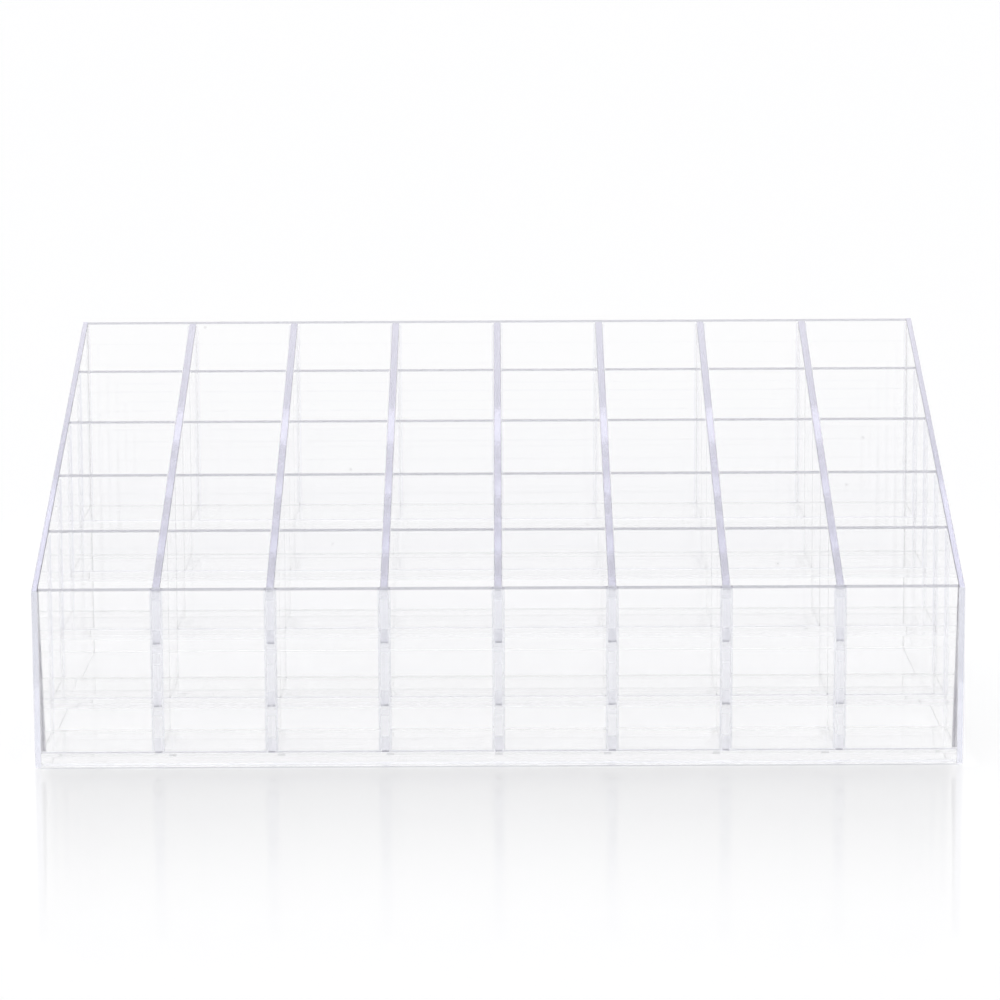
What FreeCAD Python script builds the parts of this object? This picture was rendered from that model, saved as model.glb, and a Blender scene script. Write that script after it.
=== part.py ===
# Clear stepped vanity organizer: bonded acrylic sheets, five rows of eight compartments.
# Frame: millimetres, +Z up, front towards -Y, origin on the table under the middle of the stand.
import FreeCAD
import Part
import os
import Sketcher

columns = 8
rows = 5

# Driving dimensions, in millimetres unless the name ends in share
sizes = {
    # compartments
    "slot_width": 21.4,                # clear width of the inner columns
    "end_slot_width": 23.0,            # clear width of the first and last column
    "slot_depth": 21.8,                # clear front-to-back room of every row
    # sheets
    "side_thickness": 1.2,
    "front_thickness": 1.2,
    "back_thickness": 1.2,
    "floor_thickness": 2.0,
    "row_divider_thickness": 1.2,
    "column_divider_thickness": 1.6,
    # heights above the table
    "front_height": 36.4,              # top of the stand at its front face
    "back_height": 76.0,               # top of the stand at its back face
    "first_floor_height": 2.6,         # upper face of the first row's floor
    "step_rise_1": 6.3,                # from the first row's floor to the second's
    "step_rise_2": 10.0,
    "step_rise_3": 8.2,
    "step_rise_4": 7.1,
    # joints and edges
    "bond_gap": 0.05,                  # cement line between bonded faces
    "lap_clearance": 0.1,              # play on each side of a cross-lap slot
    "notch_height": 0.5,               # how far a column divider's foot straddles a riser
    "edge_round": 0.2,                 # rounding of the polished top edges
    "cut_overrun": 2.0,                # how far a cut runs past the faces it opens
}

doc = FreeCAD.newDocument("VanityOrganizer")
sheet = doc.addObject("Spreadsheet::Sheet", "Sizes")
for line, (alias, value) in enumerate(sizes.items(), start=1):
    sheet.set(f"A{line}", alias)
    sheet.set(f"B{line}", str(value))
    sheet.setAlias(f"B{line}", alias)
doc.recompute()


# Places that several sheets share, as expressions on the cells
def cell(alias):
    return f"Sizes.{alias}"


column_pitch = f"({cell('slot_width')} + {cell('column_divider_thickness')})"
row_pitch = f"({cell('slot_depth')} + {cell('row_divider_thickness')})"
half_column = f"{cell('column_divider_thickness')} / 2"
inner_half_width = f"({columns / 2 - 1} * {column_pitch} + {half_column} + {cell('end_slot_width')})"
bonded_width = f"(2 * ({inner_half_width} - {cell('bond_gap')}))"
inner_depth = f"({rows} * {row_pitch} - {cell('row_divider_thickness')})"
depth = f"({cell('front_thickness')} + {inner_depth} + {cell('back_thickness')})"
front_face = f"(-{depth} / 2)"
back_face = f"({depth} / 2)"
climb = f"({cell('back_height')} - {cell('front_height')})"


def row_front(row):
    # rows are counted from 1 at the front
    return f"({front_face} + {cell('front_thickness')} + {row - 1} * {row_pitch})"


def row_back(row):
    return f"({row_front(row)} + {cell('slot_depth')})"


def floor_top(row):
    rises = [cell(f"step_rise_{step}") for step in range(1, row)]
    return "(" + " + ".join([cell("first_floor_height")] + rises) + ")"


def floor_under(row):
    return f"({floor_top(row)} - {cell('floor_thickness')})"


def top_edge(place):
    # height of the sloping top plane at a place between the front and the back
    return f"({cell('front_height')} + {climb} * ({place} - {front_face}) / {depth})"


def lap_height(row):
    # where the slot in the divider behind a row ends and the notch of the crossing divider begins
    return f"({floor_top(row + 1)} + {cell('notch_height')})"


# Every sheet is a body: a sketched profile, padded to size
def number(expression):
    return float(sheet.evalExpression(expression))


def new_body(label):
    body = doc.addObject("PartDesign::Body", label)
    body.Label = label
    return body


def outline(body, role, corners):
    # closed sketch of straight edges, whose corners are pairs of expressions
    sketch = body.newObject("Sketcher::SketchObject", f"{body.Name}_outline")
    plane = next(feature for feature in body.Origin.OriginFeatures if feature.Role == role)
    sketch.AttachmentSupport = [(plane, "")]
    sketch.MapMode = "FlatFace"
    points = [FreeCAD.Vector(number(across), number(up), 0) for across, up in corners]
    count = len(points)
    for corner in range(count):
        sketch.addGeometry(Part.LineSegment(points[corner], points[(corner + 1) % count]))
    for corner in range(count):
        sketch.addConstraint(Sketcher.Constraint("Coincident", corner, 2, (corner + 1) % count, 1))
    for corner, (across, up) in enumerate(corners):
        point = points[corner]
        for kind, expression, value in (("DistanceX", across, point.x), ("DistanceY", up, point.y)):
            place = sketch.addConstraint(Sketcher.Constraint(kind, -1, 1, corner, 1, value))
            sketch.setExpression(f"Constraints[{place}]", expression)
    return sketch


def pad(body, sketch, length, side_type):
    feature = body.newObject("PartDesign::Pad", f"{body.Name}_sheet")
    feature.Profile = sketch
    feature.SideType = side_type
    feature.setExpression("Length", length)
    doc.recompute()


def round_top_edges(body, direction):
    # the edges that run one way in the sloping top plane are polished round
    base = body.Tip
    near = number(cell("bond_gap"))
    names = []
    for place, edge in enumerate(base.Shape.Edges, start=1):
        start, end = [vertex.Point for vertex in edge.Vertexes]
        in_plane = all(abs(point.z - number(top_edge(point.y))) < near for point in (start, end))
        if in_plane and (end - start).cross(direction).Length < near * direction.Length:
            names.append(f"Edge{place}")
    rounding = body.newObject("PartDesign::Fillet", f"{body.Name}_polish")
    rounding.Base = (base, names)
    rounding.setExpression("Radius", cell("edge_round"))
    doc.recompute()


across = FreeCAD.Vector(1, 0, 0)
up_the_slope = FreeCAD.Vector(0, number(depth), number(climb))


# Side panels: full depth, standing on the table
def side_panel(label, place):
    body = new_body(label)
    corners = [
        (front_face, "0"),
        (back_face, "0"),
        (back_face, cell("back_height")),
        (front_face, cell("front_height")),
    ]
    pad(body, outline(body, "YZ_Plane", corners), cell("side_thickness"), "One side")
    round_top_edges(body, up_the_slope)
    body.setExpression("Placement.Base.x", place)
    return body


# Cross sheets: from side panel to side panel, with the top bevelled to the slope
def cross_sheet(label, front, back, foot):
    body = new_body(label)
    corners = [(front, foot), (back, foot), (back, top_edge(back)), (front, top_edge(front))]
    pad(body, outline(body, "YZ_Plane", corners), bonded_width, "Symmetric")
    return body


def end_panel(label, front, back):
    body = cross_sheet(label, front, back, "0")
    round_top_edges(body, across)
    return body


def cut_lap_slots(body, row):
    # one deep slot, open at the top, repeated for every column divider
    half_slot = f"({half_column} + {cell('lap_clearance')})"
    first = f"(-{columns / 2 - 1} * {column_pitch})"
    foot = f"({lap_height(row)} - {cell('lap_clearance')} / 2)"
    mouth = f"({top_edge(row_front(row + 1))} + {cell('cut_overrun')})"
    corners = [
        (f"{first} - {half_slot}", foot),
        (f"{first} + {half_slot}", foot),
        (f"{first} + {half_slot}", mouth),
        (f"{first} - {half_slot}", mouth),
    ]
    slot = body.newObject("PartDesign::Pocket", f"{body.Name}_slot")
    slot.Profile = outline(body, "XZ_Plane", corners)
    slot.SideType = "Symmetric"
    slot.setExpression("Length", f"2 * ({depth} + {cell('cut_overrun')})")
    doc.recompute()
    pattern = body.newObject("PartDesign::LinearPattern", f"{body.Name}_slots")
    pattern.Originals = [slot]
    x_axis = next(feature for feature in body.Origin.OriginFeatures if feature.Role == "X_Axis")
    pattern.Direction = (x_axis, [""])
    pattern.Mode = "Spacing"
    pattern.setExpression("Offset", column_pitch)
    pattern.Occurrences = columns - 1
    body.Tip = pattern
    doc.recompute()


def row_divider(label, row):
    # wall behind a row, whose lower part is the riser up to the next floor
    body = cross_sheet(label, row_back(row), row_front(row + 1), floor_under(row))
    cut_lap_slots(body, row)
    round_top_edges(body, across)
    return body


def floor(label, row):
    body = new_body(label)
    front = f"({row_front(row)} + {cell('bond_gap')})"
    back = f"({row_back(row)} - {cell('bond_gap')})"
    corners = [
        (front, floor_under(row)),
        (back, floor_under(row)),
        (back, floor_top(row)),
        (front, floor_top(row)),
    ]
    pad(body, outline(body, "YZ_Plane", corners), bonded_width, "Symmetric")
    return body


# Column dividers: sloping top, stepped lower edge, notches that straddle the risers
def column_divider(label, place):
    body = new_body(label)
    corners = []
    for row in range(1, rows + 1):
        front_gap = cell("bond_gap" if row == 1 else "lap_clearance")
        back_gap = cell("bond_gap" if row == rows else "lap_clearance")
        front = f"({row_front(row)} + {front_gap})"
        back = f"({row_back(row)} - {back_gap})"
        foot = f"({floor_top(row)} + {cell('bond_gap')})"
        if row > 1:
            corners.append((front, f"({lap_height(row - 1)} + {cell('lap_clearance')} / 2)"))
        corners += [(front, foot), (back, foot)]
        if row < rows:
            corners.append((back, f"({lap_height(row)} + {cell('lap_clearance')} / 2)"))
    first, last = corners[0][0], corners[-1][0]
    corners += [(last, top_edge(last)), (first, top_edge(first))]
    pad(body, outline(body, "YZ_Plane", corners), cell("column_divider_thickness"), "Symmetric")
    round_top_edges(body, up_the_slope)
    body.setExpression("Placement.Base.x", place)
    return body


pieces = [
    side_panel("left_side_panel", f"-({inner_half_width} + {cell('side_thickness')})"),
    side_panel("right_side_panel", inner_half_width),
    end_panel("front_panel", front_face, f"({front_face} + {cell('front_thickness')})"),
    end_panel("back_panel", f"({back_face} - {cell('back_thickness')})", back_face),
]
for row in range(1, rows + 1):
    pieces.append(floor(f"floor_row_{row}", row))
for row in range(1, rows):
    pieces.append(row_divider(f"row_divider_{row}", row))
for column in range(1, columns):
    pieces.append(column_divider(f"column_divider_{column}", f"{column - columns / 2} * {column_pitch}"))
doc.recompute()

# Nothing is written unless every object is sound
for item in doc.Objects:
    if "Invalid" in item.State or "Error" in item.State:
        raise RuntimeError(f"{item.Name} failed: {item.State}")
for body in pieces:
    if body.Shape.isNull() or not body.Shape.isValid() or len(body.Shape.Solids) != 1:
        raise RuntimeError(f"{body.Label} is not one valid solid")

os.makedirs("parts", exist_ok=True)
for body in pieces:
    body.Shape.exportStep(f"parts/{body.Label}.step")
    print(f"{body.Label}: {body.Shape.Volume:.1f} mm3")
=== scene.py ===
import bmesh
import bpy
import math
from mathutils import Matrix, Vector


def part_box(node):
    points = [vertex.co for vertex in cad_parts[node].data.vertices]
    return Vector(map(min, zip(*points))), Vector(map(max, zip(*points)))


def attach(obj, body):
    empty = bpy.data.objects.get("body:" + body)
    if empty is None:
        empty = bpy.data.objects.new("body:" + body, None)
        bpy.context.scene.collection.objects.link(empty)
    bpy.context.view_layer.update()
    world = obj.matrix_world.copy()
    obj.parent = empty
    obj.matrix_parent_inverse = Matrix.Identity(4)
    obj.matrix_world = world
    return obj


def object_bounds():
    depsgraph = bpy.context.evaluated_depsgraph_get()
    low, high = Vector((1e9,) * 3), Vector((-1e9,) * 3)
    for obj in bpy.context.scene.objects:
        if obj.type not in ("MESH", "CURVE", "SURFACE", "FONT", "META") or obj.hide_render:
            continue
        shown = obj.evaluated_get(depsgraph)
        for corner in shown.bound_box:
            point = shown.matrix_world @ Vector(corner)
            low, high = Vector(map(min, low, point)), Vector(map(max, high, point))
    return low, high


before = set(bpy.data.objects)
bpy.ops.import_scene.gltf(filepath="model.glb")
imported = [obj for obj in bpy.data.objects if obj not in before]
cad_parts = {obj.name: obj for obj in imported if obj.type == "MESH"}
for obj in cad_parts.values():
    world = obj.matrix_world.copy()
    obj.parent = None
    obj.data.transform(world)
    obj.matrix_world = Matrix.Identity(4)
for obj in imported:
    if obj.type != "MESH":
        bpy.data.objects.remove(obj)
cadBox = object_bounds()
scene = bpy.context.scene
print("frame loaded:", len(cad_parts), "sheets")


# A shader socket that takes part in plain arithmetic
class Wire:
    def __init__(self, shader, socket):
        self.shader = shader
        self.socket = socket

    def maths(self, operation, first, second=0.0):
        return self.shader.node("ShaderNodeMath", {"operation": operation}, {0: first, 1: second})

    def __add__(self, other):
        return self.maths("ADD", self, other)

    def __radd__(self, other):
        return self.maths("ADD", other, self)

    def __sub__(self, other):
        return self.maths("SUBTRACT", self, other)

    def __rsub__(self, other):
        return self.maths("SUBTRACT", other, self)

    def __mul__(self, other):
        return self.maths("MULTIPLY", self, other)

    def __rmul__(self, other):
        return self.maths("MULTIPLY", other, self)

    def __lt__(self, other):
        return self.maths("LESS_THAN", self, other)

    def __gt__(self, other):
        return self.maths("GREATER_THAN", self, other)

    def __abs__(self):
        return self.maths("ABSOLUTE", self)


class Shader:
    def __init__(self, owner):
        owner.use_nodes = True
        self.tree = owner.node_tree
        self.tree.nodes.clear()

    # any node: its type, its settings, what goes into its sockets, and the output that is wanted
    def node(self, kind, settings=None, inputs=None, output=0):
        made = self.tree.nodes.new(kind)
        for name, value in (settings or {}).items():
            setattr(made, name, value)
        for name, value in (inputs or {}).items():
            if isinstance(value, Wire):
                self.tree.links.new(value.socket, made.inputs[name])
            else:
                made.inputs[name].default_value = value
        return Wire(self, made.outputs[output]) if made.outputs else made

    # 0 below low, 1 above high, smooth between
    def ease(self, value, low, high):
        return self.node(
            "ShaderNodeMapRange",
            {"interpolation_type": "SMOOTHSTEP"},
            {"Value": value, "From Min": low, "From Max": high},
        )

    def noise(self, place, scale, detail):
        return self.node(
            "ShaderNodeTexNoise",
            {"noise_dimensions": "3D"},
            {"Vector": place, "Scale": scale, "Detail": detail},
        )

    def blend(self, share, first, second):
        return self.node(
            "ShaderNodeMix",
            {"data_type": "RGBA"},
            {"Factor": share, "A": first, "B": second},
            "Result",
        )


# Clear acrylic: polished on its broad faces, satin and faintly lavender on its cut edges, with painted
# shade making the cut edges that face up a darker lavender-grey and the side panels' cut ends greyer
def clearAcrylic(look):
    material = bpy.data.materials.new(look["name"])
    shader = Shader(material)
    place = shader.node("ShaderNodeTexCoord", output="Object")
    facing = shader.node("ShaderNodeTexCoord", output="Normal")
    square = shader.node("ShaderNodeSeparateXYZ", {}, {0: facing}, look["broadAxis"])
    upward = shader.node("ShaderNodeSeparateXYZ", {}, {0: facing}, "Z")
    edge = 1 - shader.ease(abs(square), look["edgeStart"], look["edgeEnd"])
    # the cut edges that face up, which get painted shade in their colour
    shadedTopEdge = edge * shader.ease(upward, look["upwardStart"], look["upwardEnd"])
    cloud = shader.noise(place, look["smudgeScale"], look["smudgeDetail"])
    smudge = shader.ease(cloud, look["smudgeStart"], look["smudgeEnd"])
    ripple = shader.noise(place, look["rippleScale"], look["rippleDetail"])
    sawn = shader.noise(place, look["sawnScale"], look["sawnDetail"])
    stretched = shader.node(
        "ShaderNodeVectorMath", {"operation": "MULTIPLY"}, {0: place, 1: look["hairlineStretch"]}
    )
    streak = shader.noise(stretched, look["hairlineScale"], 0.0)
    hairline = 1 - shader.ease(abs(streak - look["hairlineLevel"]), 0.0, look["hairlineWidth"])
    grain = shader.node("ShaderNodeTexVoronoi", {}, {"Vector": place, "Scale": look["speckScale"]})
    speck = 1 - shader.ease(grain, 0.0, look["speckRadius"] * look["speckScale"])
    height = ripple * look["rippleHeight"] + sawn * edge * look["sawnHeight"]
    normal = shader.node("ShaderNodeBump", {}, {"Distance": 1.0, "Height": height}, "Normal")
    tint = shader.blend(speck, look["colour"], look["speckColour"])
    # cut ends: a faint tint of the cut edge, plus painted shade where the colour is set darker
    tint = shader.blend(edge, tint, look["endTintAndShade"])
    roughness = shadedTopEdge * look["topRoughness"] + (edge - shadedTopEdge) * look["endRoughness"]
    scuffed = smudge * look["smudgeRoughness"] + hairline * smudge * look["hairlineRoughness"]
    scuffed = scuffed + speck * look["speckRoughness"]
    body = shader.node(
        "ShaderNodeBsdfPrincipled",
        {},
        {
            # painted shade: the cut edges that face up take the darker colour
            "Base Color": shader.blend(shadedTopEdge, tint, look["topPaintedShade"]),
            "Roughness": roughness + scuffed,
            "IOR": look["ior"],
            "Transmission Weight": 1.0,
            "Normal": normal,
        },
    )
    shadow = shader.node("ShaderNodeLightPath", output="Is Shadow Ray")
    passing = shader.node("ShaderNodeBsdfTransparent", {}, {"Color": look["shadowColour"]})
    surface = shader.node("ShaderNodeMixShader", {}, {0: shadow, 1: body, 2: passing})
    inside = shader.node(
        "ShaderNodeVolumeAbsorption",
        {},
        {"Color": look["bodyColour"], "Density": look["bodyDensity"]},
    )
    shader.node("ShaderNodeOutputMaterial", {}, {"Surface": surface, "Volume": inside})
    return material


upright = {
    "name": "clear_upright_acrylic",
    "broadAxis": "X",
    "edgeStart": 0.85,
    "edgeEnd": 0.99,
    "upwardStart": 0.2,
    "upwardEnd": 0.9,
    "colour": (0.99, 0.99, 0.992, 1.0),
    # painted shade for the cut edges that face up
    "topPaintedShade": (0.53, 0.51, 0.66, 1.0),
    "endTintAndShade": (0.97, 0.97, 0.98, 1.0),
    "topRoughness": 0.25,
    "endRoughness": 0.02,
    "ior": 1.49,
    "smudgeScale": 45.0,
    "smudgeDetail": 4.0,
    "smudgeStart": 0.66,
    "smudgeEnd": 0.9,
    "smudgeRoughness": 0.05,
    "hairlineStretch": (1.0, 0.06, 0.06),
    "hairlineScale": 700.0,
    "hairlineLevel": 0.5,
    "hairlineWidth": 0.02,
    "hairlineRoughness": 0.25,
    "speckScale": 55.0,
    "speckRadius": 0.0006,
    "speckColour": (0.70, 0.69, 0.70, 1.0),
    "speckRoughness": 0.3,
    "rippleScale": 30.0,
    "rippleDetail": 1.0,
    "rippleHeight": 0.0000015,
    "sawnScale": 2500.0,
    "sawnDetail": 2.0,
    "sawnHeight": 0.000002,
    "shadowColour": (0.996, 0.996, 0.997, 1.0),
    "bodyColour": (0.58, 0.60, 0.72, 1.0),
    "bodyDensity": 5.0,
}
sidePanel = dict(
    upright,
    name="clear_side_acrylic",
    # painted shade: the side panels' cut ends are set greyer to hold back light piped through the sheet
    endTintAndShade=(0.90, 0.90, 0.93, 1.0),
    endRoughness=0.15,
    bodyDensity=4.0,
)
# painted shade: darker still on the tops of the cross sheets
crossSheet = dict(upright, name="clear_cross_acrylic", broadAxis="Y", topPaintedShade=(0.34, 0.335, 0.40, 1.0))
tread = dict(
    upright,
    name="clear_tread_acrylic",
    broadAxis="Z",
    colour=(1.0, 1.0, 1.0, 1.0),
    endTintAndShade=(1.0, 1.0, 1.0, 1.0),
    endRoughness=0.0,
    sawnHeight=0.0,
    shadowColour=(0.998, 0.998, 0.998, 1.0),
    bodyDensity=0.3,
)

uprightFinish = clearAcrylic(upright)
sideFinish = clearAcrylic(sidePanel)
crossFinish = clearAcrylic(crossSheet)
treadFinish = clearAcrylic(tread)
for name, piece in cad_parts.items():
    if name.startswith("floor"):
        finish = treadFinish
    elif name.startswith("column"):
        finish = uprightFinish
    elif "side" in name:
        finish = sideFinish
    else:
        finish = crossFinish
    for slot in piece.material_slots:
        slot.material = finish
print("acrylic finishes set")

# Cement beads: the hollow fillets that the cement leaves along the bonded joints; most keep the cement's
# pale haze, while those of the first row and the laps carry painted shade in mid or dark grey
cementBead = {
    "gap": 0.00003,
    "floorRadius": 0.0005,
    "underRadius": 0.0004,
    "cornerRadius": 0.0005,
    "outerFootRadius": 0.0010,
    "outerTopRadius": 0.0002,
    "arcSteps": 4,
    "topDrop": 0.0004,
    "lapPlay": 0.0001,  # room between a notch and the cross sheet that it straddles
    "lapGap": 0.00001,
    "lapInset": 0.0001,
    "lapStart": 0.0001,
    "lapEnd": 0.00045,
    "lapRounding": 0.00006,
    "clearColour": (1.0, 1.0, 1.0, 1.0),
    "paleColour": (0.93, 0.93, 0.957, 1.0),
    # painted shade: mid and dark greys for beads that should read as darker lines
    "midShadeColour": (0.82, 0.825, 0.87, 1.0),
    "darkShadeColour": (0.34, 0.33, 0.38, 1.0),
    "ior": 1.47,
    "hazeScale": 150.0,
    "hazeDetail": 1.0,
    "hazeLeast": 0.4,
    "hazeRoughness": 0.03,
    "bubbleScale": 2600.0,
    "bubbleHeight": 0.0000002,
    "shadowColour": (0.97, 0.97, 0.975, 1.0),
}
# the mid and dark finishes are painted shade, the pale one the cement's own haze
paleTone, midShadeTone, darkShadeTone = range(3)  # places of the finishes on every row of beads
rowCount = sum(name.startswith("floor_row_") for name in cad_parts)
columnCount = sum(name.startswith("column_divider_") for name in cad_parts) + 1


def cementFinish(look, name, colour):
    material = bpy.data.materials.new(name)
    shader = Shader(material)
    place = shader.node("ShaderNodeTexCoord", output="Object")
    cloud = shader.noise(place, look["hazeScale"], look["hazeDetail"])
    haze = look["hazeLeast"] + (1 - look["hazeLeast"]) * cloud
    bubbles = shader.node("ShaderNodeTexVoronoi", {}, {"Vector": place, "Scale": look["bubbleScale"]})
    normal = shader.node(
        "ShaderNodeBump", {}, {"Distance": look["bubbleHeight"], "Height": bubbles}, "Normal"
    )
    body = shader.node(
        "ShaderNodeBsdfPrincipled",
        {},
        {
            "Base Color": shader.blend(haze, look["clearColour"], colour),
            "Roughness": haze * look["hazeRoughness"],
            "IOR": look["ior"],
            "Transmission Weight": 1.0,
            "Normal": normal,
        },
    )
    shadow = shader.node("ShaderNodeLightPath", output="Is Shadow Ray")
    passing = shader.node("ShaderNodeBsdfTransparent", {}, {"Color": look["shadowColour"]})
    surface = shader.node("ShaderNodeMixShader", {}, {0: shadow, 1: body, 2: passing})
    shader.node("ShaderNodeOutputMaterial", {}, {"Surface": surface})
    return material


# a corner close to both sheets, then the hollow arc from one sheet to the other
def beadSection(look, radius):
    gap = look["gap"]
    points = [(gap, gap)]
    for step in range(look["arcSteps"] + 1):
        turn = math.pi / 2 * step / look["arcSteps"]
        points.append((radius - (radius - gap) * math.sin(turn), radius - (radius - gap) * math.cos(turn)))
    return points


# the clear space of a compartment: two corners on its floor
def compartment(row, column):
    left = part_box("left_side_panel" if column == 1 else f"column_divider_{column - 1}")[1].x
    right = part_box("right_side_panel" if column == columnCount else f"column_divider_{column}")[0].x
    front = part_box("front_panel" if row == 1 else f"row_divider_{row - 1}")[1].y
    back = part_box("back_panel" if row == rowCount else f"row_divider_{row}")[0].y
    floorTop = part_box(f"floor_row_{row}")[1].z
    return Vector((left, front, floorTop)), Vector((right, back, floorTop))


# the sloping plane that all the walls end in
def topAt(y):
    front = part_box("front_panel")[1]
    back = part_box("left_side_panel")[1]
    return front.z + (back.z - front.z) * (y - front.y) / (back.y - front.y)


# the four corners of a compartment, each with the way to its middle
def cornersOf(low, high):
    return [(low.x, low.y, 1, 1), (high.x, low.y, -1, 1), (high.x, high.y, -1, -1), (low.x, high.y, 1, -1)]


def closeTube(mesh, here, there):
    faces = [mesh.faces.new(here), mesh.faces.new(there)]
    for step in range(len(here)):
        after = (step + 1) % len(here)
        faces.append(mesh.faces.new((here[step], there[step], there[after], here[after])))
    return faces


# along the front of a floor, above it (upward 1) or under it (upward -1)
def floorBead(mesh, look, start, end, upward, radius, tone):
    section = [(start.y + out, start.z + upward * up) for out, up in beadSection(look, radius)]
    left = [mesh.verts.new((start.x + look["gap"], y, z)) for y, z in section]
    right = [mesh.verts.new((end.x - look["gap"], y, z)) for y, z in section]
    for face in closeTube(mesh, left, right):
        face.material_index = tone


# up a corner, from the floor bead if there is one at its foot
def cornerBead(mesh, look, x, y, intoX, intoY, floorTop, tone):
    outer = tone == darkShadeTone
    footRadius = look["outerFootRadius"] if outer else look["cornerRadius"]
    topRadius = look["outerTopRadius"] if outer else look["cornerRadius"]
    foot = floorTop + look["gap"]
    if intoY > 0:
        foot += look["floorRadius"]
    lower = []
    for a, b in beadSection(look, footRadius):
        lower.append(mesh.verts.new((x + intoX * a, y + intoY * b, foot)))
    upper = []
    for a, b in beadSection(look, topRadius):
        top = topAt(y + intoY * b) - look["topDrop"]
        upper.append(mesh.verts.new((x + intoX * a, y + intoY * b, top)))
    for face in closeTube(mesh, lower, upper):
        face.material_index = tone


# the line of cement that a column divider's foot squeezes out where it meets a cross sheet, coloured dark
# grey as painted shade
def lapBead(mesh, look, divider, front, back, floorTop):
    left, right = [corner.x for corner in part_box(divider)]
    near, far = front + look["lapGap"], back - look["lapGap"]
    low, high = floorTop + look["lapStart"], floorTop + look["lapEnd"]
    bevel = look["lapRounding"]
    section = [(near, low + bevel), (far, low), (far, high), (near, high - bevel)]
    here = [mesh.verts.new((left + look["lapInset"], y, z)) for y, z in section]
    there = [mesh.verts.new((right - look["lapInset"], y, z)) for y, z in section]
    for face in closeTube(mesh, here, there):
        face.material_index = darkShadeTone


# only the outer sheets have beads up the corners: the laps of the crossing dividers are dry above the foot
def makeBeads(look, row):
    mesh = bmesh.new()
    for column in range(1, columnCount + 1):
        low, high = compartment(row, column)
        # painted shade: mid grey along the first row's floor
        floorBead(mesh, look, low, high, 1, look["floorRadius"], midShadeTone if row == 1 else paleTone)
        for x, y, intoX, intoY in cornersOf(low, high):
            atSide = (column == 1 and intoX > 0) or (column == columnCount and intoX < 0)
            atEnd = (row == 1 and intoY > 0) or (row == rowCount and intoY < 0)
            if atSide or atEnd:
                # painted shade: the first row's corner beads mid grey, darkest up the outer corners
                tone = paleTone
                if row == 1 and intoY > 0:
                    tone = darkShadeTone if atSide else midShadeTone
                cornerBead(mesh, look, x, y, intoX, intoY, low.z, tone)
        if column == columnCount:
            continue
        divider = f"column_divider_{column}"
        if row == 1:
            lapBead(mesh, look, divider, low.y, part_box(divider)[0].y, low.z)
        if row < rowCount:
            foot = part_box(f"floor_row_{row + 1}")[1].z
            lapBead(mesh, look, divider, high.y - look["lapPlay"], high.y, foot)
    if row == 1:
        start, end = compartment(1, 1)[0], compartment(1, columnCount)[1]
        start.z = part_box("floor_row_1")[0].z
        # painted shade: the line under the first floor's front
        floorBead(mesh, look, start, end, -1, look["underRadius"], midShadeTone)
    bmesh.ops.recalc_face_normals(mesh, faces=mesh.faces[:])
    data = bpy.data.meshes.new(f"cement_beads_row_{row}")
    mesh.to_mesh(data)
    mesh.free()
    for finish in beadFinishes:
        data.materials.append(finish)
    beads = bpy.data.objects.new(data.name, data)
    scene.collection.objects.link(beads)
    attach(beads, "root")


# the cement's pale haze, then two painted shades
beadFinishes = [
    cementFinish(cementBead, "cement_pale", cementBead["paleColour"]),
    cementFinish(cementBead, "cement_mid_painted_shade", cementBead["midShadeColour"]),
    cementFinish(cementBead, "cement_dark_painted_shade", cementBead["darkShadeColour"]),
]
for row in range(1, rowCount + 1):
    makeBeads(cementBead, row)
print("cement beads made:", rowCount, "rows")


# Table: white, glossy, wide enough to fill every view
tableTop = {
    "radius": 6.0,
    "sides": 64,
    "height": -0.00005,
    "colour": (0.93, 0.93, 0.935, 1.0),
    # painted contact shadow along the stand's front foot
    "contactShadowColour": (0.55, 0.55, 0.58, 1.0),
    "contactStart": 0.0001,
    "contactReach": 0.0016,
    "glossRoughness": 0.04,
    "matteRoughness": 1.0,
    "matteSpecular": 0.0,
    "glow": 0.18,
    "openShare": 0.667,
    "underEdge": 0.004,
    "underFront": -0.045,
    "underBack": 0.02,
    "glossReach": 0.22,
    "shadeStart": 0.004,
    "shadeReach": 0.12,
    "shadeSide": 0.004,
    "shadeTaper": 0.114,
}


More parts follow.
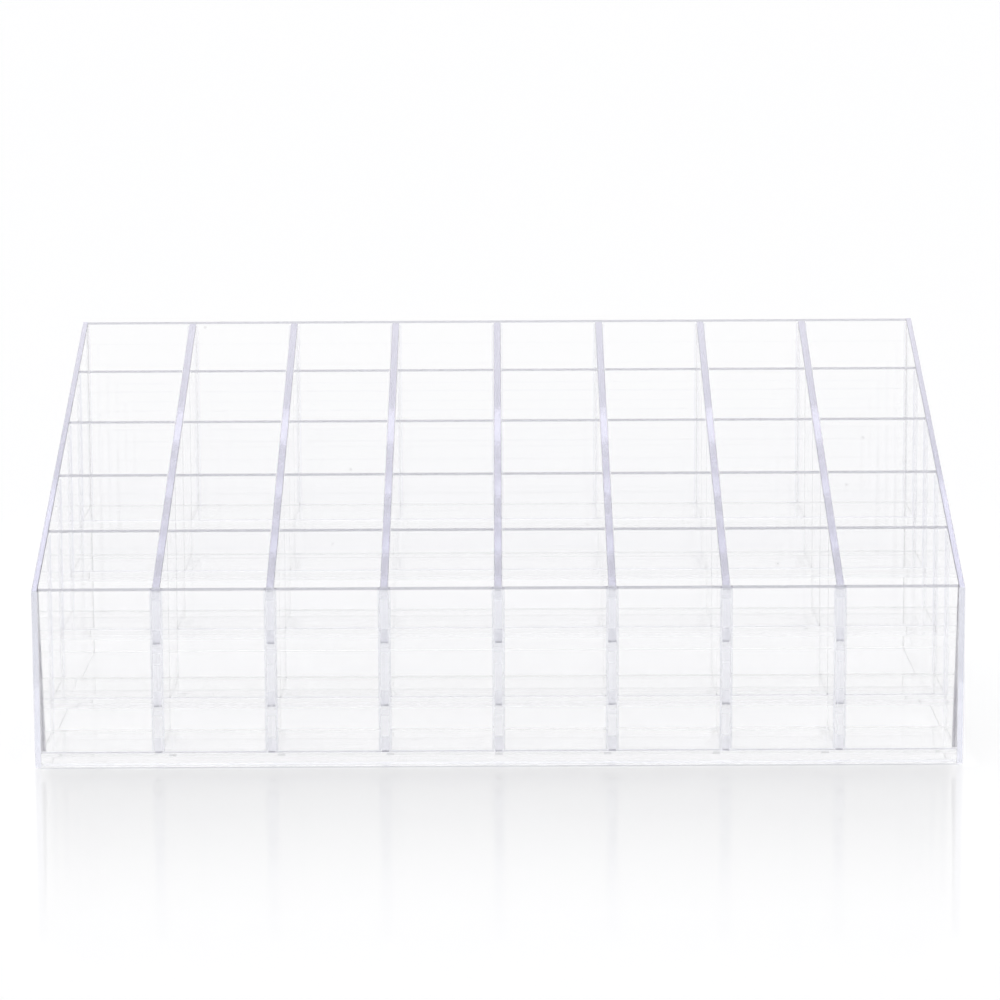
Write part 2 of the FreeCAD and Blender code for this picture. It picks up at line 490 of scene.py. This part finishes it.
def makeTable(look):
    mesh = bpy.data.meshes.new("table_top")
    corners = []
    for side in range(look["sides"]):
        turn = 2 * math.pi * side / look["sides"]
        corners.append((look["radius"] * math.cos(turn), look["radius"] * math.sin(turn), look["height"]))
    mesh.from_pydata(corners, [], [tuple(range(look["sides"]))])
    table = bpy.data.objects.new("table_top", mesh)
    scene.collection.objects.link(table)
    material = bpy.data.materials.new("table_white")
    shader = Shader(material)
    # how far a place lies outside the stand, the soft shade in front of it, and the lit part under it
    place = shader.node("ShaderNodeTexCoord", output="Object")
    away = shader.node("ShaderNodeVectorMath", {"operation": "ABSOLUTE"}, {0: place})
    away = shader.node("ShaderNodeVectorMath", {"operation": "SUBTRACT"}, {0: away, 1: cadBox[1]})
    away = shader.node("ShaderNodeVectorMath", {"operation": "MAXIMUM"}, {0: away, 1: (0.0, 0.0, 0.0)})
    away = shader.node("ShaderNodeVectorMath", {"operation": "LENGTH"}, {0: away}, "Value")
    faded = shader.ease(away, 0.0, look["glossReach"])
    depth = shader.node("ShaderNodeSeparateXYZ", {}, {0: place}, "Y")
    before = cadBox[0].y - depth
    sideways = abs(shader.node("ShaderNodeSeparateXYZ", {}, {0: place}, "X")) - cadBox[1].x
    sideways = sideways + before * look["shadeTaper"]
    shade = shader.ease(before, -look["shadeStart"], look["shadeStart"])
    shade = shade * (1 - shader.ease(before, 0.0, look["shadeReach"]))
    shade = shade * (1 - shader.ease(sideways, -look["shadeSide"], 0.0))
    under = 1 - shader.ease(away, 0.0, look["underEdge"])
    under = under * (1 - shader.ease(depth, look["underFront"], look["underBack"]))
    share = look["openShare"] + (1 - look["openShare"]) * under
    # painted contact shadow: a thin dark band on the table just in front of the stand's foot
    contact = shader.ease(before, 0.0, look["contactStart"])
    contact = contact * (1 - shader.ease(before, look["contactStart"], look["contactReach"]))
    contact = contact * (1 - shader.ease(sideways, -look["contactReach"], 0.0))
    colour = shader.blend(contact, look["colour"], look["contactShadowColour"])
    gloss = shader.node(
        "ShaderNodeBsdfPrincipled",
        {},
        {"Base Color": colour, "Roughness": look["glossRoughness"]},
    )
    matte = shader.node(
        "ShaderNodeBsdfPrincipled",
        {},
        {
            "Base Color": look["colour"],
            "Roughness": look["matteRoughness"],
            "Specular IOR Level": look["matteSpecular"],
        },
    )
    # the white of the background, for what looks at the table straight, through or by reflection
    seen = shader.node("ShaderNodeLightPath", output="Is Camera Ray")
    seen = seen + shader.node("ShaderNodeLightPath", output="Is Transmission Ray")
    seen = (seen + shader.node("ShaderNodeLightPath", output="Is Glossy Ray")) > 0
    glow = shader.node("ShaderNodeEmission", {}, {"Strength": look["glow"]})
    body = shader.node("ShaderNodeMixShader", {}, {0: faded, 1: gloss, 2: matte})
    white = shader.node("ShaderNodeMixShader", {}, {0: seen * (1 - shade) * share, 2: glow})
    surface = shader.node("ShaderNodeAddShader", {}, {0: body, 1: white})
    shader.node("ShaderNodeOutputMaterial", {}, {"Surface": surface})
    mesh.materials.append(material)
    return table


makeTable(tableTop)

# Room light: white behind the stand, greyer overhead and on the camera's side, with two soft boxes
roomLight = {
    "overheadStart": 0.25,
    "overheadEnd": 0.8,
    "overheadDrop": 0.35,
    "frontStart": 0.1,
    "frontEnd": 0.9,
    "frontDrop": 0.2,
}
softBoxes = [
    {"towards": (-0.1, 0.68, 0.73), "rim": 30.0, "core": 15.0, "gain": 1.1},
    {"towards": (-0.25, -0.2, 0.95), "rim": 28.0, "core": 14.0, "gain": 0.7},
]


def makeWorld(look, boxes):
    world = bpy.data.worlds.new("room_light")
    scene.world = world
    shader = Shader(world)
    place = shader.node("ShaderNodeTexCoord", output="Generated")
    height = shader.node("ShaderNodeSeparateXYZ", {}, {0: place}, "Z")
    behind = shader.node("ShaderNodeSeparateXYZ", {}, {0: place}, "Y")
    overhead = shader.ease(height, look["overheadStart"], look["overheadEnd"])
    front = shader.ease(-1 * behind, look["frontStart"], look["frontEnd"])
    level = (1 - overhead * look["overheadDrop"]) * (1 - front * look["frontDrop"])
    for box in boxes:
        near = shader.node(
            "ShaderNodeVectorMath",
            {"operation": "DOT_PRODUCT"},
            {0: place, 1: Vector(box["towards"]).normalized()},
            "Value",
        )
        rim = math.cos(math.radians(box["rim"]))
        core = math.cos(math.radians(box["core"]))
        level = level + box["gain"] * shader.ease(near, rim, core)
    sky = shader.node("ShaderNodeBackground", {}, {"Color": level, "Strength": 1.0})
    white = shader.node("ShaderNodeBackground", {}, {"Color": (1.0, 1.0, 1.0, 1.0), "Strength": 1.0})
    camera = shader.node("ShaderNodeLightPath", output="Is Camera Ray")
    mixed = shader.node("ShaderNodeMixShader", {}, {0: camera, 1: sky, 2: white})
    shader.node("ShaderNodeOutputWorld", {}, {"Surface": mixed})


makeWorld(roomLight, softBoxes)
print("table and light set")

# Camera, fitted to the photograph's corners and wall tops
photoCamera = {
    "framePixels": 1000,
    "focalPixels": 4172,
    "elevation": 9.8,
    "roll": -0.27,
    "distance": 0.837,
    "aim": (0.00046, -0.0575, 0.0545),
    "sensorWidth": 36.0,
    "clipStart": 0.01,
    "clipEnd": 50.0,
}
# light that crosses all the sheets needs many bounces
lightPaths = {
    "max_bounces": 64,
    "transmission_bounces": 64,
    "glossy_bounces": 48,
    "transparent_max_bounces": 64,
}


def makeCamera(look):
    data = bpy.data.cameras.new("photo_camera")
    data.sensor_width = look["sensorWidth"]
    data.lens = data.sensor_width * look["focalPixels"] / look["framePixels"]
    data.clip_start = look["clipStart"]
    data.clip_end = look["clipEnd"]
    camera = bpy.data.objects.new("photo_camera", data)
    scene.collection.objects.link(camera)
    tilt = math.radians(look["elevation"])
    back = Vector((0, -math.cos(tilt), math.sin(tilt)))
    camera.location = Vector(look["aim"]) + back * look["distance"]
    level = (-back).to_track_quat("-Z", "Y").to_matrix().to_4x4()
    rolled = level @ Matrix.Rotation(math.radians(look["roll"]), 4, "Z")
    camera.rotation_euler = rolled.to_euler()
    scene.camera = camera


makeCamera(photoCamera)
scene.view_settings.view_transform = "Standard"
for name, count in lightPaths.items():
    setattr(scene.cycles, name, count)
